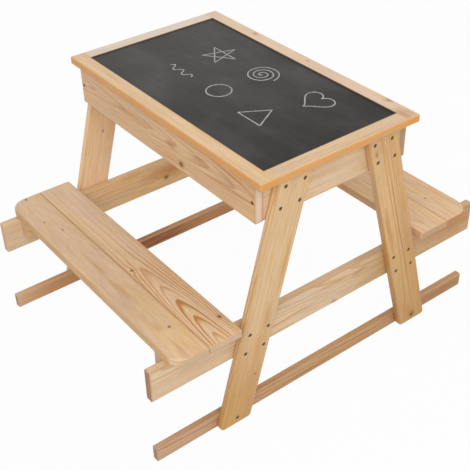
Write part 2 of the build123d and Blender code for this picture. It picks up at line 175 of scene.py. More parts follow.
def pine_group():
    """Growth rings round a pith, with fibres, resin streaks and darker end grain."""
    sheet, given = new_group("pine figure", [
        ("Place", "INPUT", "Vector"),
        ("Along", "INPUT", "Vector"),
        ("Seed", "INPUT", "Float"),
        ("Pith Across", "INPUT", "Float"),
        ("Pith Depth", "INPUT", "Float"),
        ("Lean Across", "INPUT", "Float"),
        ("Lean Depth", "INPUT", "Float"),
        ("Bow", "INPUT", "Float"),
        ("Half Size", "INPUT", "Vector"),
        ("Wander", "INPUT", "Float"),
        ("Ring Width", "INPUT", "Float"),
        ("Contrast", "INPUT", "Float"),
        ("Resin", "INPUT", "Float"),
        ("Early Wood", "INPUT", "Color"),
        ("Late Wood", "INPUT", "Color"),
        ("End Wood", "INPUT", "Color"),
        ("Edge Wood", "INPUT", "Color"),
        ("Swell", "INPUT", "Float"),
        ("Knot", "INPUT", "Float"),
        ("Knot Wood", "INPUT", "Color"),
        ("Streak", "INPUT", "Float"),
        ("Streak Wood", "INPUT", "Color"),
        ("Color", "OUTPUT", "Color"),
        ("Roughness", "OUTPUT", "Float"),
        ("Relief", "OUTPUT", "Float"),
    ])
    place, seed = given["Place"], given["Seed"]
    along, across, through = sheet.node(
        "ShaderNodeSeparateXYZ", inputs={0: place}, outputs=("X", "Y", "Z"))

    # The pith line, which leans, bows and wanders along the board
    slow = sheet.vector("MULTIPLY", place, (2.3, 7.0, 7.0))
    drift = sheet.cloud(slow, seed, detail=1.0, output="Color")
    drift_across, drift_depth, drift_tone = sheet.node(
        "ShaderNodeSeparateColor", inputs={0: drift}, outputs=("Red", "Green", "Blue"))
    wander = given["Wander"]
    bend = (along + 0.05).math("MAXIMUM", 0.0) ** 2 * given["Bow"]
    from_pith_across = (across - given["Pith Across"] - given["Lean Across"] * along
                        + (drift_across - 0.5) * wander)
    from_pith_depth = (through - given["Pith Depth"] - given["Lean Depth"] * along - bend
                       + (drift_depth - 0.5) * wander)
    ripple = sheet.cloud(sheet.vector("MULTIPLY", place, (16.0, 60.0, 60.0)), seed + 7.0) - 0.5
    shiver = sheet.cloud(sheet.vector("MULTIPLY", place, (45.0, 240.0, 240.0)), seed + 9.0) - 0.5
    radius = (from_pith_across ** 2 + from_pith_depth ** 2) ** 0.5 + given["Swell"]
    radius = radius + ripple * 0.0016 + shiver * 0.0007

    # Years of growth, wide near the pith and as given at 50 mm from it, each ending in a thin
    # dark band of late wood
    years = (radius * 20.0) ** 1.5 * 0.0333 / given["Ring Width"]
    pace = sheet.node(
        "ShaderNodeTexNoise", {"noise_dimensions": "1D"}, {"W": years * 0.4 + seed, "Scale": 1.0})
    years = years + (pace - 0.5) * 0.8
    age = years.math("FRACT")
    season = sheet.ease(age, 0.2, 0.92) ** 2.4 * sheet.ease(age, 1.0, 0.93)
    year = years.math("FLOOR")
    vigour = sheet.node(
        "ShaderNodeTexWhiteNoise", {"noise_dimensions": "1D"}, {"W": year + seed}, ("Value",))
    late = season * (vigour * 0.45 + 0.55) * given["Contrast"]

    # Fibres, and broad changes of tone
    lines = sheet.cloud(sheet.vector("MULTIPLY", place, (5.0, 240.0, 240.0)), seed + 11.0, detail=3.0)
    fibres = sheet.cloud(sheet.vector("MULTIPLY", place, (26.0, 1300.0, 1300.0)), seed + 17.0)
    blotch = sheet.cloud(sheet.vector("MULTIPLY", place, (7.0, 24.0, 24.0)), seed + 23.0)
    patch = sheet.cloud(sheet.vector("MULTIPLY", place, (10.0, 80.0, 80.0)), seed + 31.0, detail=1.0)
    resin = sheet.ease(patch, 0.56, 0.8) * given["Resin"]

    wood = sheet.mix(late, given["Early Wood"], given["Late Wood"])
    wood = sheet.mix(resin * 0.4, wood, given["Streak Wood"])
    wood = sheet.mix(given["Streak"] * (0.65 + lines * 0.5), wood, given["Streak Wood"])
    flecks = sheet.cloud(sheet.vector("MULTIPLY", place, (60.0, 420.0, 420.0)), seed + 37.0)
    # Where the wood is darker it is also more golden
    shade = (lines - 0.5) * 0.42 + (fibres - 0.5) * 0.4 + (blotch - 0.5) * 0.28 + (flecks - 0.5) * 0.26
    warmth = (drift_tone - 0.5) * 0.3 + (patch - 0.5) * 0.4 + (blotch - 0.5) * 0.3
    tint = sheet.node("ShaderNodeCombineColor", inputs={
        0: 1.0 + shade * 0.8 + warmth * 0.2,
        1: 1.0 + shade - warmth * 0.05,
        2: 1.0 + shade * 1.5 - warmth})
    wood = sheet.mix(1.0, wood, tint, "MULTIPLY")

    # Knots, and the end grain
    wood = sheet.mix(given["Knot"], wood, given["Knot Wood"])
    normal = sheet.node("ShaderNodeTexCoord", outputs=("Normal",))
    end = sheet.ease(abs(sheet.dot(normal, given["Along"])), 0.7, 0.95)
    pores = sheet.cloud(sheet.vector("MULTIPLY", place, (200.0, 1500.0, 1500.0)), seed + 41.0)
    end_wood = sheet.mix(late * 0.4, given["End Wood"], given["Late Wood"])
    end_wood = sheet.mix(sheet.ease(pores, 0.55, 0.75) * 0.25, end_wood, given["Late Wood"])
    wood = sheet.mix(end, wood, end_wood)

    # Arrises, tinted darker and more golden
    inside = sheet.vector("SUBTRACT", sheet.vector("ABSOLUTE", place), given["Half Size"])
    inside = sheet.node("ShaderNodeSeparateXYZ", inputs={0: inside}, outputs=("X", "Y", "Z"))
    ragged = (flecks + blotch - 1.0) * 0.003
    by_end, by_side, by_face = (sheet.ease(depth + ragged, -0.0040, -0.0008) for depth in inside)
    arris = (by_end * by_side).math("MAXIMUM", by_side * by_face).math("MAXIMUM", by_end * by_face)
    wood = sheet.mix(arris * 0.6, wood, given["Edge Wood"])

    roughness = 0.5 + (lines - 0.5) * 0.2 - late * 0.1 + end * 0.2
    relief = fibres * 0.5 + lines * 0.3 + late * 0.5 - given["Knot"] * 0.3
    sheet.node("NodeGroupOutput", inputs={
        "Color": wood, "Roughness": roughness, "Relief": relief}, outputs=())
    return sheet.tree


def knot_group():
    """One knot: how far it swells the rings round it, and how dark it is."""
    sheet, given = new_group("knot", [
        ("Place", "INPUT", "Vector"),
        ("Middle", "INPUT", "Vector"),
        ("Size", "INPUT", "Float"),
        ("Swell", "OUTPUT", "Float"),
        ("Knot", "OUTPUT", "Float"),
    ])
    size = given["Size"]
    offset = sheet.vector("SUBTRACT", given["Place"], given["Middle"])
    along, across = sheet.node("ShaderNodeSeparateXYZ", inputs={0: offset}, outputs=("X", "Y"))
    wobble = sheet.cloud(given["Place"], size * 900.0, scale=400.0, detail=1.0) - 0.5
    span = ((along / 1.25) ** 2 + across ** 2) ** 0.5 / size + wobble * 0.5
    rings = (span * 2.6).math("FRACT") * 0.35 + 0.55
    core = sheet.ease(span, 1.1, 0.8)
    heart = sheet.ease(span, 0.6, 0.2) * 0.35
    fringe = sheet.ease(span, 2.2, 0.9) * 0.3
    knot = ((core * rings).math("MAXIMUM", fringe) + heart).math("MINIMUM", 1.0)
    reach = (along / (size * 6.0)) ** 2 + (across / (size * 2.5)) ** 2
    swell = size * 1.3 / reach.math("EXPONENT")
    sheet.node("NodeGroupOutput", inputs={"Swell": swell, "Knot": knot}, outputs=())
    return sheet.tree


def streak_group():
    """A long lens of darker colour, which may run at a slant to the board: resinous wood, and on some
    boards painted shade.
    """
    sheet, given = new_group("streak", [
        ("Place", "INPUT", "Vector"),
        ("Middle", "INPUT", "Vector"),
        ("Reach", "INPUT", "Float"),
        ("Width", "INPUT", "Float"),
        ("Slant", "INPUT", "Float"),
        ("Strength", "INPUT", "Float"),
        ("Streak", "OUTPUT", "Float"),
    ])
    offset = sheet.vector("SUBTRACT", given["Place"], given["Middle"])
    along, across = sheet.node("ShaderNodeSeparateXYZ", inputs={0: offset}, outputs=("X", "Y"))
    bends = sheet.cloud(sheet.vector("MULTIPLY", given["Place"], (14.0, 20.0, 20.0)), 3.0) - 0.5
    feather = sheet.cloud(sheet.vector("MULTIPLY", given["Place"], (30.0, 260.0, 260.0)), 6.0) - 0.5
    across = (across - given["Slant"] * along + bends * 0.006) / given["Width"]
    span = ((along / given["Reach"]) ** 2 + across ** 2) ** 0.5 + feather * 1.1
    streak = sheet.ease(span, 1.35, 0.1) * given["Strength"]
    sheet.node("NodeGroupOutput", inputs={"Streak": streak}, outputs=())
    return sheet.tree


pine_figure = pine_group()
knot_figure = knot_group()
streak_figure = streak_group()

# Tones of pine under a clear coat: early wood, late wood, end grain, arrises
tones = {
    "cream": (tone(222, 189, 150), tone(204, 154, 98), tone(224, 162, 94), tone(222, 176, 120)),
    "deep cream": (tone(215, 182, 143), tone(198, 148, 94), tone(224, 162, 94), tone(220, 170, 110)),
    "rosy cream": (tone(223, 195, 167), tone(204, 164, 126), tone(224, 162, 94), tone(218, 178, 132)),
    # Painted light: lighter than the other legs' tones, for light that reaches the far leg
    "lit far leg": (tone(241, 205, 163), tone(200, 140, 80), tone(212, 184, 154), tone(216, 170, 118)),
    "milk": (tone(223, 203, 181), tone(206, 174, 142), tone(224, 162, 94), tone(216, 176, 132)),
    "blush": (tone(224, 193, 157), tone(208, 160, 112), tone(230, 210, 188), tone(212, 172, 128)),
    "sand": (tone(226, 187, 143), tone(192, 130, 68), tone(230, 208, 184), tone(204, 154, 100)),
    "dull end": (tone(220, 183, 142), tone(190, 132, 72), tone(184, 148, 118), tone(204, 154, 100)),
    "dusky": (tone(206, 170, 126), tone(176, 122, 68), tone(166, 120, 92), tone(184, 138, 90)),
    "seat": (tone(223, 189, 150), tone(194, 134, 76), tone(206, 176, 144), tone(200, 154, 106)),
    "inner seat": (tone(229, 197, 159), tone(194, 134, 76), tone(212, 184, 154), tone(206, 162, 114)),
    "far seat": (tone(216, 181, 142), tone(190, 132, 78), tone(198, 160, 126), tone(208, 164, 120)),
    "red end": (tone(216, 181, 142), tone(190, 132, 78), tone(186, 134, 94), tone(208, 164, 120)),
    "pale beam": (tone(224, 194, 156), tone(198, 146, 92), tone(176, 134, 106), tone(204, 160, 114)),
    "gold beam": (tone(230, 190, 138), tone(190, 132, 76), tone(214, 176, 142), tone(228, 190, 146)),
    "batten": (tone(198, 155, 109), tone(160, 109, 57), tone(166, 134, 102), tone(188, 152, 122)),
    "orange batten": (tone(206, 152, 100), tone(160, 104, 52), tone(172, 140, 108), tone(214, 178, 144)),
    "pale batten": (tone(206, 165, 125), tone(170, 116, 70), tone(172, 140, 108), tone(212, 176, 140)),
    "flax": (tone(224, 192, 152), tone(194, 144, 84), tone(208, 172, 132), tone(208, 158, 92)),
    # Painted shade: the darker, yellower tone of the near legs low down
    "shaded honey": (tone(200, 155, 92), tone(180, 122, 58), tone(196, 156, 112), tone(186, 134, 68)),
    "straw": (tone(216, 176, 122), tone(184, 126, 64), tone(200, 162, 122), tone(196, 144, 84)),
}
dark_knot = tone(116, 68, 8)
grey_knot = tone(140, 104, 80)
red_knot = tone(160, 104, 56)
pale_knot = tone(164, 118, 74)
orange_streak = tone(196, 134, 74)
golden_streak = tone(202, 154, 90)
# Dark brown for the middle of the far foot rail: darker wood, and painted shadow of the table above
dark_wood_and_shadow = tone(138, 75, 18)
rail_streak = tone(178, 122, 66)
apron_streak = tone(190, 116, 44)
leg_streak = tone(186, 122, 52)
beam_streak = tone(184, 130, 76)
foot_streak = tone(162, 111, 60)
amber = tone(224, 152, 74)
old_gold = tone(208, 160, 92)
# A dark line along the top rails' lip, beside the chalkboard
dark_lip_line = tone(58, 40, 28)

# A leg leans, so its box doesn't give its own width. Its half length here reaches past its cut
# ends, which have no arris
leg_splay = radians(15.4)
leg_half_size = Vector((0.3, 0.034, 0.008))

# How far the arrises of a glued end are moved out of the wood
glued_end = 0.02

# Inner edges of the top frame, from the middle of the table
opening_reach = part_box("near_top_rail")[0].x
opening_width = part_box("right_top_rail")[0].y


class Board:
    """The place of a board's grain: its middle, and its axes along, across and through."""

    def __init__(self, name):
        low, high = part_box(name)
        size = high - low
        axes = [Vector((1, 0, 0)), Vector((0, 1, 0)), Vector((0, 0, 1))]
        thin, wide, long = sorted(range(3), key=lambda axis: size[axis])
        self.middle = (low + high) / 2
        self.half_size = Vector((size[long], size[wide], size[thin])) / 2
        self.along = axes[long]
        self.through = axes[thin]
        if name.endswith("_leg"):
            lean = 1 if self.middle.y > 0 else -1
            self.along = Vector((0, -lean * sin(leg_splay), cos(leg_splay)))
            self.half_size = leg_half_size
        if name in ("near_top_rail", "far_top_rail"):
            # Their ends are glued to the long rails, so they have no arris there
            self.half_size.x += glued_end
        if self.middle.dot(self.through) < 0:
            self.through = -self.through
        self.across = self.through.cross(self.along)
        self.turn = Matrix((self.along, self.across, self.through)).transposed()

    def local(self, point):
        """A point of the frame, in the board's own axes."""
        return self.turn.transposed() @ (Vector(point) - self.middle)


def edge_tones(sheet, colour, board, outward):
    """Amber on a top rail's outward faces and ends, and a dark line along its lip by the board."""
    normal = sheet.node("ShaderNodeTexCoord", outputs=("Normal",))
    outer = sheet.dot(normal, outward).math("MAXIMUM", abs(sheet.dot(normal, board.along)))
    place = sheet.node("ShaderNodeTexCoord", outputs=("Object",))
    amber_patches = sheet.cloud(place, 5.0, scale=22.0) * 0.5 + 0.6
    edge_amber = sheet.mix(sheet.ease(sheet.cloud(place, 9.0, scale=34.0), 0.35, 0.7), amber, old_gold)
    colour = sheet.mix(sheet.ease(outer, 0.2, 0.75) * amber_patches, colour, edge_amber)
    x, y = sheet.node("ShaderNodeSeparateXYZ", inputs={0: place}, outputs=("X", "Y"))
    from_board = (abs(x) - opening_reach).math("MAXIMUM", abs(y) - opening_width)
    ragged = sheet.cloud(place, 8.0, scale=120.0) * 0.001
    return sheet.mix(sheet.ease(from_board + ragged, 0.0030, 0.0016) * 0.94, colour, dark_lip_line)


def pine(name, seed, look, second=None, pith=(0.0, -0.06), lean=(0.0, 0.02), bow=0.0,
         wander=0.012, rings=0.0035, contrast=0.8, plain_far=None, resin=0.35, knots=(),
         knot_wood=red_knot, streaks=(), streak_wood=orange_streak, outward=None):
    """The finish of one board.

    Its tone may change along it: second is (other look, where it starts, where it is complete).
    Its figure may fade towards its far end, between the two places along it in plain_far. Knots
    are (point of the frame, size), and streaks are (point of the frame, half length, half width,
    slant, strength); some streaks are painted shade. A rail of the top has amber on its outward
    side and a dark line along its lip on the other.
    """
    board = Board(name)
    material, sheet = new_finish(f"pine {name}")
    object_place = sheet.node("ShaderNodeTexCoord", outputs=("Object",))
    place = sheet.node("ShaderNodeMapping", {"vector_type": "TEXTURE"}, {
        "Vector": object_place, "Location": board.middle, "Rotation": board.turn.to_euler()})
    swell, dark = 0.0, 0.0
    for point, size in knots:
        found_swell, found_dark = sheet.node(
            "ShaderNodeGroup", {"node_tree": knot_figure},
            {"Place": place, "Middle": board.local(point), "Size": size}, ("Swell", "Knot"))
        swell = found_swell + swell
        dark = found_dark.math("MAXIMUM", dark)
    streaked = 0.0
    for point, reach, width, slant, strength in streaks:
        found = sheet.node("ShaderNodeGroup", {"node_tree": streak_figure}, {
            "Place": place, "Middle": board.local(point), "Reach": reach, "Width": width,
            "Slant": slant, "Strength": strength})
        streaked = found.math("MAXIMUM", streaked)
    early, late, end_grain, edge_grain = tones[look]
    if second:
        other_look, start, complete = second
        along = sheet.node("ShaderNodeSeparateXYZ", inputs={0: place})
        share = sheet.ease(along, start, complete)
        early = sheet.mix(share, early, tones[other_look][0])
        late = sheet.mix(share, late, tones[other_look][1])
    if plain_far:
        along = sheet.node("ShaderNodeSeparateXYZ", inputs={0: place})
        contrast = (sheet.ease(along, *plain_far) * 0.82 + 0.18) * contrast
    colour, roughness, relief = sheet.node("ShaderNodeGroup", {"node_tree": pine_figure}, {
        "Place": place, "Along": board.along, "Seed": seed,
        "Pith Across": pith[0], "Pith Depth": pith[1], "Lean Across": lean[0], "Lean Depth": lean[1],
        "Bow": bow, "Half Size": board.half_size, "Wander": wander, "Ring Width": rings,
        "Contrast": contrast, "Resin": resin,
        "Early Wood": early, "Late Wood": late, "End Wood": end_grain, "Edge Wood": edge_grain,
        "Swell": swell, "Knot": dark, "Knot Wood": knot_wood,
        "Streak": streaked, "Streak Wood": streak_wood,
    }, ("Color", "Roughness", "Relief"))
    if outward:
        colour = edge_tones(sheet, colour, board, outward)
    bump = sheet.node("ShaderNodeBump", inputs={"Strength": 0.35, "Distance": 0.0003, "Height": relief})
    give_surface(sheet, {
        "Base Color": colour, "Roughness": roughness, "Normal": bump,
        "Specular IOR Level": 0.4, "Coat Weight": 0.12, "Coat Roughness": 0.35})
    nodes[name].data.materials.clear()
    nodes[name].data.materials.append(material)


# The faces that knots and streaks lie on
frame_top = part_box("left_top_rail")[1].z
bench_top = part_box("left_bench_inner_board")[1].z
apron_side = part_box("left_long_apron")[0].y
apron_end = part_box("near_end_apron")[1].x
leg_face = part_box("near_left_leg")[1].x
far_leg_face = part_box("far_left_leg")[1].x
beam_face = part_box("near_seat_beam")[1].x
far_beam_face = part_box("far_seat_beam")[1].x
foot_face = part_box("near_foot_rail")[1].x
far_foot_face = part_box("far_foot_rail")[1].x

left = Vector((0, -1, 0))
right = Vector((0, 1, 0))
near = Vector((1, 0, 0))
far = Vector((-1, 0, 0))

# Boards that the photograph shows well, each with the figure seen on it
pine("left_top_rail", 1.3, "cream", pith=(0.05, -0.03), lean=(0.01, 0.01), rings=0.003, contrast=0.5,
     resin=0.9, outward=left)
pine("right_top_rail", 2.9, "rosy cream", pith=(-0.03, -0.05), rings=0.0035, contrast=0.45, resin=0.3,
     outward=right, knots=[((0.016, 0.167, frame_top), 0.0022)], knot_wood=grey_knot,
     streaks=[((-0.149, 0.169, frame_top), 0.008, 0.0055, 0.0, 0.8),
              ((-0.147, 0.168, frame_top), 0.004, 0.003, 0.0, 1.0),
              ((0.229, 0.173, frame_top), 0.011, 0.0075, 0.1, 0.9),
              ((0.282, 0.152, frame_top), 0.030, 0.026, 0.0, 0.75)], streak_wood=rail_streak)
pine("near_top_rail", 4.2, "deep cream", pith=(0.04, -0.05), rings=0.0045, contrast=0.45,
     resin=1.0, outward=near)
pine("far_top_rail", 5.7, "milk", pith=(0.04, -0.04), rings=0.003, contrast=0.35, resin=0.1,
     outward=far)
pine("left_long_apron", 6.1, "sand", pith=(0.009, -0.0305), lean=(0.0, -0.035), rings=0.0027, contrast=0.62,
     resin=0.7, wander=0.004, knots=[((0.067, apron_side, 0.434), 0.0055)], knot_wood=dark_knot,
     streaks=[((-0.096, apron_side, 0.464), 0.066, 0.0085, 0.0, 0.6),
              ((0.036, apron_side, 0.461), 0.016, 0.008, -0.2, 0.6),
              ((0.210, apron_side, 0.4825), 0.075, 0.0026, -0.09, 0.85),
              ((0.215, apron_side, 0.468), 0.085, 0.006, 0.04, 0.2),
              ((0.205, apron_side, 0.453), 0.095, 0.0020, 0.05, 0.75),
              ((0.120, apron_side, 0.470), 0.030, 0.005, 0.12, 0.6),
              # This streak is painted shade and warm reflected light along the apron's top, under the top
              # rail
              ((0.0, apron_side, 0.493), 0.4, 0.007, 0.0, 0.55)], streak_wood=apron_streak)
pine("near_end_apron", 7.4, "blush", pith=(0.01, -0.09), rings=0.0055, contrast=0.3, resin=0.2,
     streaks=[((apron_end, -0.010, 0.420), 0.06, 0.003, 0.0, 0.6),
              # This streak is painted shade along the apron's top, under the top rail
              ((apron_end, 0.0, 0.494), 0.25, 0.004, 0.0, 0.6)])
# Its tone turns to shaded honey towards the foot: painted shade, darker and yellower low down
pine("near_left_leg", 8.8, "flax", ("shaded honey", 0.04, -0.24), pith=(-0.050, -0.03), rings=0.0030,
     contrast=0.85, resin=0.6,
     knots=[((leg_face, -0.090, 0.366), 0.0026), ((leg_face, -0.187, 0.102), 0.0022)],
     streaks=[((leg_face, -0.205, 0.060), 0.07, 0.016, 0.0, 0.6),
              ((leg_face, -0.160, 0.225), 0.035, 0.010, 0.05, 0.8),
              ((leg_face, -0.178, 0.170), 0.03, 0.012, 0.0, 0.7),
              ((leg_face, -0.120, 0.330), 0.08, 0.006, 0.02, 0.8)], streak_wood=golden_streak)
# Its tone turns to shaded honey towards the foot: painted shade, darker and yellower low down
pine("near_right_leg", 9.5, "straw", ("shaded honey", 0.10, -0.24), pith=(0.020, -0.03),
     lean=(-0.01, 0.0), rings=0.0036, contrast=0.7, resin=1.0,
     knots=[((leg_face, 0.0850, 0.4590), 0.0019), ((leg_face, 0.2290, 0.018), 0.0070)],
     streaks=[((leg_face, 0.1690, 0.246), 0.28, 0.0016, 0.0145, 1.0),
              ((leg_face, 0.1890, 0.246), 0.45, 0.014, 0.0145, 0.28),
              ((leg_face, 0.1640, 0.120), 0.32, 0.004, 0.0, 0.6),
              ((leg_face, 0.0862, 0.468), 0.012, 0.009, 0.0, 0.3),
              ((leg_face, 0.2200, 0.030), 0.03, 0.014, 0.3, 0.4)], streak_wood=leg_streak)
# Its tone is painted lighter, standing in for light that reaches its face
pine("far_left_leg", 10.6, "lit far leg", pith=(-0.05, -0.05), rings=0.003, contrast=0.45,
     knots=[((far_leg_face, -0.138, 0.337), 0.0024)], knot_wood=pale_knot)
pine("left_bench_inner_board", 11.2, "inner seat", pith=(-0.0085, -0.0230), lean=(0.0, 0.0), bow=0.207,
     rings=0.0030, contrast=1.3, plain_far=(-0.08, 0.14), resin=0.3, wander=0.002, knot_wood=dark_knot,
     knots=[((0.0440, -0.2810, bench_top), 0.0026), ((0.2490, -0.2310, bench_top), 0.0034)])
pine("left_bench_outer_board", 12.9, "seat", pith=(0.0, -0.10), lean=(0.0, 0.05), rings=0.0055,
     contrast=0.14, resin=0.2, knot_wood=dark_knot,
     knots=[((-0.2940, -0.3250, bench_top), 0.0024), ((-0.1970, -0.3340, bench_top), 0.0016),
            ((-0.1520, -0.3180, bench_top), 0.0018), ((0.2160, -0.3143, bench_top), 0.0024)],
     streaks=[((0.205, -0.331, bench_top), 0.020, 0.009, 0.0, 0.6),
              ((0.27, -0.331, bench_top), 0.035, 0.005, 0.0, 0.6),
              ((-0.01, -0.325, bench_top), 0.035, 0.007, 0.0, 0.7),
              ((0.08, -0.327, bench_top), 0.06, 0.006, 0.05, 0.6),
              # This streak is painted shade on the board's outer side face
              ((0.0, -0.3620, bench_top), 0.9, 0.0036, 0.0, 0.9)], streak_wood=golden_streak)
pine("right_bench_inner_board", 13.4, "far seat", pith=(-0.01, -0.06), lean=(0.0, -0.03), rings=0.004,
     contrast=0.35, resin=0.3)
pine("right_bench_outer_board", 14.1, "red end", pith=(0.01, -0.07), lean=(0.0, 0.02), rings=0.0050,
     contrast=0.3, resin=0.4, knots=[((0.2213, 0.3152, bench_top), 0.0022)])
pine("near_seat_beam", 15.5, "dusky", ("pale beam", 0.14, 0.00), pith=(0.03, -0.05),
     lean=(0.0, 0.03), rings=0.0034, contrast=0.7, resin=0.9,
     knots=[((beam_face, 0.0165, 0.152), 0.0050)],
     streaks=[((beam_face, 0.080, 0.196), 0.022, 0.007, 0.1, 0.7),
              ((beam_face, -0.100, 0.175), 0.07, 0.002, 0.05, 1.0),
              ((beam_face, 0.010, 0.200), 0.06, 0.003, -0.05, 0.7),
              ((beam_face, 0.360, 0.190), 0.12, 0.030, 0.0, 0.9)], streak_wood=beam_streak)
pine("far_seat_beam", 16.8, "gold beam", ("pale beam", -0.10, -0.28), pith=(0.03, 0.07),
     rings=0.0038, contrast=0.35, resin=0.9,
     knots=[((far_beam_face, -0.0015, 0.1745), 0.0042)], knot_wood=dark_knot,
     streaks=[((far_beam_face, 0.02, 0.190), 0.08, 0.020, 0.0, 0.9)])
pine("near_foot_rail", 17.3, "batten", ("pale batten", -0.15, -0.40), pith=(0.02, -0.04),
     rings=0.003, contrast=0.9, resin=1.0,
     streaks=[((foot_face, 0.340, 0.015), 0.10, 0.02, 0.0, 1.0),
              ((foot_face, -0.05, 0.010), 0.12, 0.004, 0.02, 0.8),
              ((foot_face, 0.08, 0.022), 0.08, 0.003, -0.02, 0.7)], streak_wood=foot_streak)
pine("far_foot_rail", 18.6, "orange batten", ("flax", -0.28, -0.45), pith=(0.03, 0.05),
     rings=0.003, contrast=0.6, resin=0.9,
     # Both streaks darken the middle of the rail: darker wood, and painted shadow of the table above
     streaks=[((far_foot_face, -0.080, 0.022), 0.16, 0.016, 0.0, 1.0),
              ((far_foot_face, -0.03, 0.010), 0.10, 0.010, 0.0, 1.0)], streak_wood=dark_wood_and_shadow)

pine("right_long_apron", 19.2, "dull end", pith=(0.02, -0.05), contrast=0.6)
pine("near_left_bench_cleat", 20.4, "gold beam", pith=(0.02, -0.04), contrast=0.5)
pine("far_left_bench_cleat", 21.6, "gold beam", pith=(0.01, -0.05), contrast=0.5)

# The other boards, cut from anywhere in the log
cutting = random.Random(31)
for name in (
    "far_end_apron", "far_right_leg", "near_right_bench_cleat", "far_right_bench_cleat",
    "left_floor_ledger", "right_floor_ledger", "near_floor_ledger", "far_floor_ledger",
    "near_top_stiffener", "far_top_stiffener", "box_floor", "rail_dowels", "locating_pegs",
):
    pine(
        name, 40 + 10 * cutting.random(), cutting.choice(["flax", "sand", "straw"]),
        pith=(cutting.uniform(-0.04, 0.04), cutting.uniform(-0.09, -0.03)),
        lean=(cutting.uniform(-0.02, 0.02), cutting.uniform(-0.05, 0.05)),
        rings=cutting.uniform(0.003, 0.0045), contrast=cutting.uniform(0.4, 0.8),
        resin=cutting.uniform(0.1, 0.5))


# Chalkboard

def chalkboard_finish():
    """Dark paint, rubbed with chalk dust that was wiped in arcs, and lighter towards its far end as painted
    sheen.
    """
    material, sheet = new_finish("chalkboard paint")
    place = sheet.node("ShaderNodeMapping", {"vector_type": "TEXTURE"}, {
        "Vector": sheet.node("ShaderNodeTexCoord", outputs=("Object",)), "Location": (0.03, 0.02, 0.0)})
    warp = sheet.cloud(place, 3.0, scale=5.0, output="Color")
    swept = sheet.vector("ADD", place, sheet.vector("MULTIPLY", warp, (0.05, 0.05, 0.0)))
    dust = sheet.cloud(sheet.vector("MULTIPLY", swept, (9.0, 14.0, 9.0)), 5.0, detail=4.0)
    wipes = sheet.cloud(sheet.vector("MULTIPLY", swept, (14.0, 90.0, 9.0)), 8.0, detail=3.0)
    grit = sheet.cloud(place, 12.0, scale=1400.0, detail=1.0)
    chalk = sheet.ease(dust, 0.35, 0.8) * 0.07 + sheet.ease(wipes, 0.45, 0.8) * 0.025
    along = sheet.node("ShaderNodeSeparateXYZ", inputs={0: place})
    # The last term is painted sheen: the board grows lighter towards its far end
    chalk = chalk + sheet.ease(grit, 0.6, 0.8) * 0.02 + sheet.ease(along, 0.3, -0.3) * 0.09
    colour = sheet.mix(chalk, tone(41, 38, 36), tone(176, 176, 174))
    bump = sheet.node("ShaderNodeBump", inputs={"Strength": 0.3, "Distance": 0.0002, "Height": grit})
    give_surface(sheet, {
        "Base Color": colour, "Roughness": 0.62 + chalk * 0.5, "Normal": bump, "Specular IOR Level": 0.2})
    return material


nodes["chalkboard"].data.materials.clear()
nodes["chalkboard"].data.materials.append(chalkboard_finish())


# Screws, made once and set at every place where the frame has one

def steel_finish():
    """Zinc-plated steel, dull, with darker stains."""
    material, sheet = new_finish("screw steel")
    place = sheet.node("ShaderNodeMapping", inputs={
        "Vector": sheet.node("ShaderNodeTexCoord", outputs=("Object",))})
    stain = sheet.cloud(place, 2.0, scale=700.0)
    colour = sheet.mix(sheet.ease(stain, 0.35, 0.7), tone(96, 70, 38), tone(146, 118, 80))
    give_surface(sheet, {"Base Color": colour, "Roughness": 0.42 + stain * 0.25, "Metallic": 0.5})
    return material


# How near points count as one, and as lying in one plane
same_point = 1e-6
same_level = 1e-5


def screw_marks(name):
    """Middle of the head's face and the way it faces, of each screw in a node, and their length."""
    work = bmesh.new()
    work.from_mesh(nodes[name].data)
    bmesh.ops.remove_doubles(work, verts=work.verts, dist=same_point)
    waiting = set(work.verts)
    heads, facings, length = [], [], 0.0
    while waiting:
        solid, edge = [], [waiting.pop()]
        while edge:
            point = edge.pop()
            solid.append(point.co.copy())
            linked = {side.other_vert(point) for side in point.link_edges} & waiting
            waiting -= linked
            edge.extend(linked)
        low = Vector(map(min, zip(*solid)))
        high = Vector(map(max, zip(*solid)))
        middle = (low + high) / 2
        axis = max(range(3), key=lambda a: high[a] - low[a])
        # The head's end is a flat face of many points, and the tip is a single one
        tip_is_low = (sum(co[axis] - low[axis] < same_level for co in solid)
                      < sum(high[axis] - co[axis] < same_level for co in solid))
        outward = Vector((0, 0, 0))
        outward[axis] = 1 if tip_is_low else -1
        head = middle.copy()
        head[axis] = high[axis] if tip_is_low else low[axis]
        heads.append(head)
        facings.append(outward)
        length = high[axis] - low[axis]
    work.free()
    return heads, facings, length


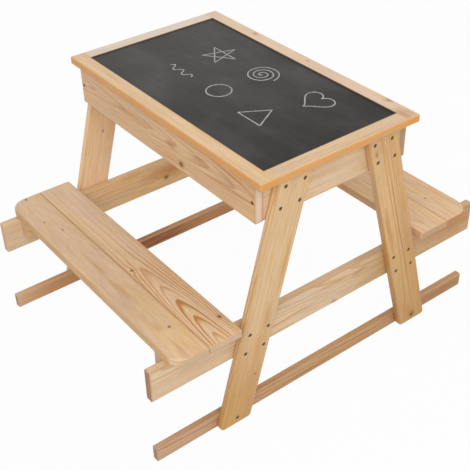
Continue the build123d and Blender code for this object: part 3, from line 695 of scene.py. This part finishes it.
def screw_tree():
    """Sets one screw, with its head's face at the point and its shank behind, at every point."""
    sheet, given = new_group("wood screws", [
        ("Points", "INPUT", "Geometry"),
        ("Length", "INPUT", "Float"),
        ("Head Radius", "INPUT", "Float"),
        ("Shank Radius", "INPUT", "Float"),
        ("Core Radius", "INPUT", "Float"),
        ("Thread Pitch", "INPUT", "Float"),
        ("Tip", "INPUT", "Float"),
        ("Recess Span", "INPUT", "Float"),
        ("Recess Width", "INPUT", "Float"),
        ("Recess Depth", "INPUT", "Float"),
        ("Steel", "INPUT", "Material"),
        ("Seed", "INPUT", "Int"),
        ("Screws", "OUTPUT", "Geometry"),
    ], "GeometryNodeTree")
    cone = given["Head Radius"] - given["Shank Radius"]
    straight = given["Length"] - cone - given["Tip"]

    def lowered(geometry, depth):
        place = sheet.node("ShaderNodeCombineXYZ", inputs={2: depth * -1.0})
        return sheet.node("GeometryNodeTransform", inputs={0: geometry, 1: place})

    head = sheet.node("GeometryNodeMeshCone", inputs={
        "Vertices": 32, "Radius Top": given["Head Radius"], "Radius Bottom": given["Shank Radius"],
        "Depth": cone})
    size = sheet.node("ShaderNodeCombineXYZ", inputs={
        0: given["Recess Span"], 1: given["Recess Width"], 2: given["Recess Depth"] * 2.0})
    slot = sheet.node("GeometryNodeMeshCube", inputs={"Size": size})
    crossed = sheet.node("GeometryNodeTransform", inputs={0: slot, 2: (0.0, 0.0, pi / 2)})
    head = sheet.node("GeometryNodeMeshBoolean", {"operation": "DIFFERENCE"}, {
        "Mesh 1": lowered(head, cone), "Mesh 2": [slot, crossed]})
    core = sheet.node("GeometryNodeMeshCylinder", inputs={
        "Vertices": 12, "Radius": given["Core Radius"], "Depth": straight})
    core = lowered(core, cone + straight / 2.0)
    tip = sheet.node("GeometryNodeMeshCone", inputs={
        "Vertices": 12, "Radius Top": given["Core Radius"], "Radius Bottom": 0.0, "Depth": given["Tip"]})
    tip = lowered(tip, given["Length"])
    helix = sheet.node("GeometryNodeCurveSpiral", inputs={
        "Resolution": 8, "Rotations": straight / given["Thread Pitch"], "Height": straight,
        "Start Radius": given["Core Radius"], "End Radius": given["Core Radius"]})
    ridge = sheet.node("GeometryNodeCurvePrimitiveCircle", inputs={
        "Resolution": 3, "Radius": given["Shank Radius"] - given["Core Radius"]})
    thread = sheet.node("GeometryNodeCurveToMesh", inputs={
        "Curve": helix, "Profile Curve": ridge, "Fill Caps": True})
    thread = lowered(thread, cone + straight)
    screw = sheet.node("GeometryNodeJoinGeometry", inputs={0: [head, core, tip, thread]})

    facing = sheet.node(
        "GeometryNodeInputNamedAttribute", {"data_type": "FLOAT_VECTOR"}, {"Name": "facing"})
    aim = sheet.node("FunctionNodeAlignRotationToVector", {"axis": "Z"}, {"Vector": facing})
    placed = sheet.node("GeometryNodeInstanceOnPoints", inputs={0: given["Points"], 2: screw, 5: aim})
    turn = sheet.node("FunctionNodeRandomValue", {"data_type": "FLOAT"}, {
        2: 0.0, 3: pi / 2, "Seed": given["Seed"]}, (1,))
    about_axis = sheet.node("ShaderNodeCombineXYZ", inputs={2: turn})
    about_axis = sheet.node("FunctionNodeEulerToRotation", inputs={0: about_axis})
    placed = sheet.node("GeometryNodeRotateInstances", inputs={0: placed, "Rotation": about_axis})
    real = sheet.node("GeometryNodeRealizeInstances", inputs={0: placed})
    real = sheet.node("GeometryNodeSetMaterial", inputs={0: real, "Material": given["Steel"]})
    sheet.node("NodeGroupOutput", inputs={0: real}, outputs=())
    return sheet.tree


def grown(start, tree, values):
    """The plain mesh that a geometry tree makes of a start mesh."""
    holder = bpy.data.objects.new("holder", start)
    scene.collection.objects.link(holder)
    modifier = holder.modifiers.new("growth", "NODES")
    modifier.node_group = tree
    sockets = {item.name: item.identifier for item in tree.interface.items_tree
               if item.in_out == "INPUT"}
    for label, value in values.items():
        modifier[sockets[label]] = value
    shown = holder.evaluated_get(bpy.context.evaluated_depsgraph_get())
    mesh = bpy.data.meshes.new_from_object(shown)
    holder.modifiers.remove(modifier)
    bpy.data.objects.remove(holder)
    return mesh


def new_piece(name, mesh, body):
    """A finished mesh as a piece that rides on a body."""
    piece = bpy.data.objects.new(name, mesh)
    scene.collection.objects.link(piece)
    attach(piece, body)
    return piece


# One screw, sized as in the CAD model, with a thread on a thinner core
screw_sizes = {
    "Head Radius": 0.00375, "Shank Radius": 0.00175, "Core Radius": 0.0012, "Thread Pitch": 0.0024,
    "Tip": 0.004, "Recess Span": 0.0044, "Recess Width": 0.0011, "Recess Depth": 0.0018,
}
screw_nodes = sorted(name for name in nodes if name.endswith("_screws"))
steel = steel_finish()
screws_tree = screw_tree()
gathered = bmesh.new()
for order, name in enumerate(screw_nodes):
    heads, facings, length = screw_marks(name)
    points = bpy.data.meshes.new("screw points")
    points.from_pydata(heads, [], [])
    facing = points.attributes.new("facing", "FLOAT_VECTOR", "POINT")
    facing.data.foreach_set("vector", [value for outward in facings for value in outward])
    gathered.from_mesh(grown(points, screws_tree, {
        **screw_sizes, "Length": length, "Steel": steel, "Seed": order}))
screws_mesh = bpy.data.meshes.new("screws")
gathered.to_mesh(screws_mesh)
gathered.free()
screws_mesh.materials.append(steel)
screws = new_piece("screws", screws_mesh, "table_frame")
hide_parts(*screw_nodes)


# Chalk marks: plain shapes that a child draws

def ring_of(x, y, radius, turns=1.0, shrink=0.0, steps=40):
    """A circle, or a spiral where it shrinks."""
    return [
        (x + radius * (1 - shrink * step / steps) * cos(2 * pi * turns * step / steps),
         y + radius * (1 - shrink * step / steps) * sin(2 * pi * turns * step / steps))
        for step in range(steps + 1)
    ]


def star(x, y, radius):
    """Five points, drawn in one line."""
    corners = [radians(90 + 144 * step) for step in range(6)]
    return [(x + radius * cos(angle), y + radius * sin(angle)) for angle in corners]


def wave(x, y, length, height, crests, steps=48):
    """A level wave about its middle."""
    return [
        (x + length * (step / steps - 0.5), y + height * sin(2 * pi * crests * step / steps))
        for step in range(steps + 1)
    ]


def heart(x, y, size, steps=48):
    """A heart's outline, as a known curve of sines and cosines."""
    angles = [2 * pi * step / steps for step in range(steps + 1)]
    return [
        (x + size * sin(a) ** 3,
         y + size * (13 * cos(a) - 5 * cos(2 * a) - 2 * cos(3 * a) - cos(4 * a)) / 16)
        for a in angles
    ]


def chalk_finish():
    """Chalk dust that skips the board's low spots."""
    material, sheet = new_finish("chalk")
    place = sheet.node("ShaderNodeMapping", inputs={
        "Vector": sheet.node("ShaderNodeTexCoord", outputs=("Object",))})
    grain = sheet.cloud(place, 4.0, scale=1100.0)
    skips = sheet.cloud(place, 9.0, scale=160.0)
    cover = sheet.ease(grain + (skips - 0.5) * 0.5, 0.22, 0.5)
    colour = sheet.mix(skips, tone(176, 174, 170), tone(206, 204, 200))
    give_surface(sheet, {
        "Base Color": colour, "Roughness": 0.85 + skips * 0.1, "Alpha": cover * 0.8,
        "Specular IOR Level": 0.1})
    return material


def stroke_tree():
    """Lays a flat ribbon of chalk, pressed harder here and there, along every line."""
    sheet, given = new_group("chalk strokes", [
        ("Lines", "INPUT", "Geometry"),
        ("Width", "INPUT", "Float"),
        ("Thickness", "INPUT", "Float"),
        ("Step", "INPUT", "Float"),
        ("Chalk", "INPUT", "Material"),
        ("Strokes", "OUTPUT", "Geometry"),
    ], "GeometryNodeTree")
    curve = sheet.node("GeometryNodeMeshToCurve", inputs={0: given["Lines"]})
    curve = sheet.node("GeometryNodeResampleCurve", {"mode": "LENGTH"}, {0: curve, "Length": given["Step"]})
    curve = sheet.node("GeometryNodeSetCurveNormal", {"mode": "Z_UP"}, {0: curve})
    profile = sheet.node("GeometryNodeCurvePrimitiveQuadrilateral", inputs={
        "Width": given["Width"], "Height": given["Thickness"]})
    press = sheet.node("ShaderNodeTexNoise", {"noise_dimensions": "3D"}, {"Scale": 60.0})
    ribbon = sheet.node("GeometryNodeCurveToMesh", inputs={
        "Curve": curve, "Profile Curve": profile, "Scale": press * 0.8 + 0.6, "Fill Caps": True})
    ribbon = sheet.node("GeometryNodeSetMaterial", inputs={0: ribbon, "Material": given["Chalk"]})
    sheet.node("NodeGroupOutput", inputs={0: ribbon}, outputs=())
    return sheet.tree


stroke_width = 0.0027
stroke_thickness = 0.00006
stroke_step = 0.0015
board_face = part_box("chalkboard")[1].z
strokes = [
    star(-0.120, 0.057, 0.036),
    ring_of(0.000, 0.066, 0.034, turns=3.0, shrink=0.95, steps=90),
    heart(0.145, 0.076, 0.032),
    wave(-0.112, -0.044, 0.070, 0.007, 2.5),
    ring_of(0.0, -0.036, 0.024),
    [(0.088, -0.060), (0.120, -0.008), (0.150, -0.060), (0.088, -0.060)],
]
line_points, line_edges = [], []
for stroke in strokes:
    first = len(line_points)
    line_points += [(x, y, board_face + stroke_thickness) for x, y in stroke]
    line_edges += [(first + step, first + step + 1) for step in range(len(stroke) - 1)]
lines = bpy.data.meshes.new("chalk lines")
lines.from_pydata(line_points, line_edges, [])
chalk_mesh = grown(lines, stroke_tree(), {
    "Width": stroke_width, "Thickness": stroke_thickness, "Step": stroke_step,
    "Chalk": chalk_finish()})
new_piece("chalk_marks", chalk_mesh, "lid")


# Studio: a pale floor, soft light from the camera's side, and a white surround

def seen_directly(sheet):
    """1 for what the camera sees, also mirrored or through glass, and 0 for the light on the table."""
    looked_at, mirrored, through_glass = sheet.node("ShaderNodeLightPath", outputs=(
        "Is Camera Ray", "Is Glossy Ray", "Is Transmission Ray"))
    return (looked_at + mirrored + through_glass).math("MINIMUM", 1.0)


def studio_floor(reach, grey, whiteness):
    """A pale floor that is seen almost white and keeps a faint shadow of the table."""
    corners = [(-reach, -reach, 0), (reach, -reach, 0), (reach, reach, 0), (-reach, reach, 0)]
    mesh = bpy.data.meshes.new("floor")
    mesh.from_pydata(corners, [], [(0, 1, 2, 3)])
    floor = bpy.data.objects.new("floor", mesh)
    scene.collection.objects.link(floor)
    material, sheet = new_finish("studio floor")
    paint = sheet.node("ShaderNodeBsdfPrincipled", inputs={
        "Base Color": (grey, grey, grey, 1.0), "Roughness": 0.9, "Specular IOR Level": 0.1})
    glow = sheet.node("ShaderNodeEmission", inputs={"Color": (1.0, 1.0, 1.0, 1.0), "Strength": 1.0})
    whole = sheet.node("ShaderNodeMixShader", inputs={
        0: seen_directly(sheet) * whiteness, 1: paint, 2: glow})
    sheet.node("ShaderNodeOutputMaterial", inputs={"Surface": whole}, outputs=())
    mesh.materials.append(material)


def studio_world(level):
    """A white surround that lights the table at this level."""
    world = bpy.data.worlds.new("surround")
    scene.world = world
    world.use_nodes = True
    world.node_tree.nodes.clear()
    sheet = Sheet(world.node_tree)
    seen = seen_directly(sheet)
    glow = sheet.node("ShaderNodeBackground", inputs={
        "Color": (1.0, 1.0, 1.0, 1.0), "Strength": seen + (1 - seen) * level})
    sheet.node("ShaderNodeOutputWorld", inputs={"Surface": glow}, outputs=())


def soft_lamp(name, place, aim, power, width):
    """A square lamp of this width and power that faces a point."""
    lamp = bpy.data.lights.new(name, "AREA")
    lamp.shape = "SQUARE"
    lamp.size = width
    lamp.energy = power
    holder = bpy.data.objects.new(name, lamp)
    holder.location = place
    holder.rotation_euler = (Vector(place) - Vector(aim)).to_track_quat("Z", "Y").to_euler()
    scene.collection.objects.link(holder)


studio_floor(reach=15.0, grey=0.62, whiteness=0.965)
studio_world(level=0.64)
lamp_aim = (0.0, 0.0, 0.3)
soft_lamp("key", (2.15, -1.6, 2.3), lamp_aim, power=52.0, width=3.0)
soft_lamp("fill", (1.0, 2.2, 2.3), lamp_aim, power=22.0, width=2.6)

# The photograph's camera
image_pixels = 470
focal_pixels = 916.7
middle_pixel = 233.5
view_azimuth = radians(53.33)
view_elevation = radians(36.30)
view_roll = radians(-1.44)
view_distance = 1.8533
view_aim = Vector((0.0309, -0.0337, 0.1939))

camera_data = bpy.data.cameras.new("camera")
camera_data.lens = camera_data.sensor_width * focal_pixels / image_pixels
camera_data.shift_x = 0.5 - middle_pixel / image_pixels
camera = bpy.data.objects.new("camera", camera_data)
scene.collection.objects.link(camera)
back = Vector((
    sin(view_azimuth) * cos(view_elevation),
    -cos(view_azimuth) * cos(view_elevation),
    sin(view_elevation)))
camera.location = view_aim + back * view_distance
camera.rotation_mode = "QUATERNION"
camera.rotation_quaternion = back.to_track_quat("Z", "Y") @ Quaternion((0.0, 0.0, 1.0), view_roll)
scene.camera = camera
scene.view_settings.view_transform = "Standard"
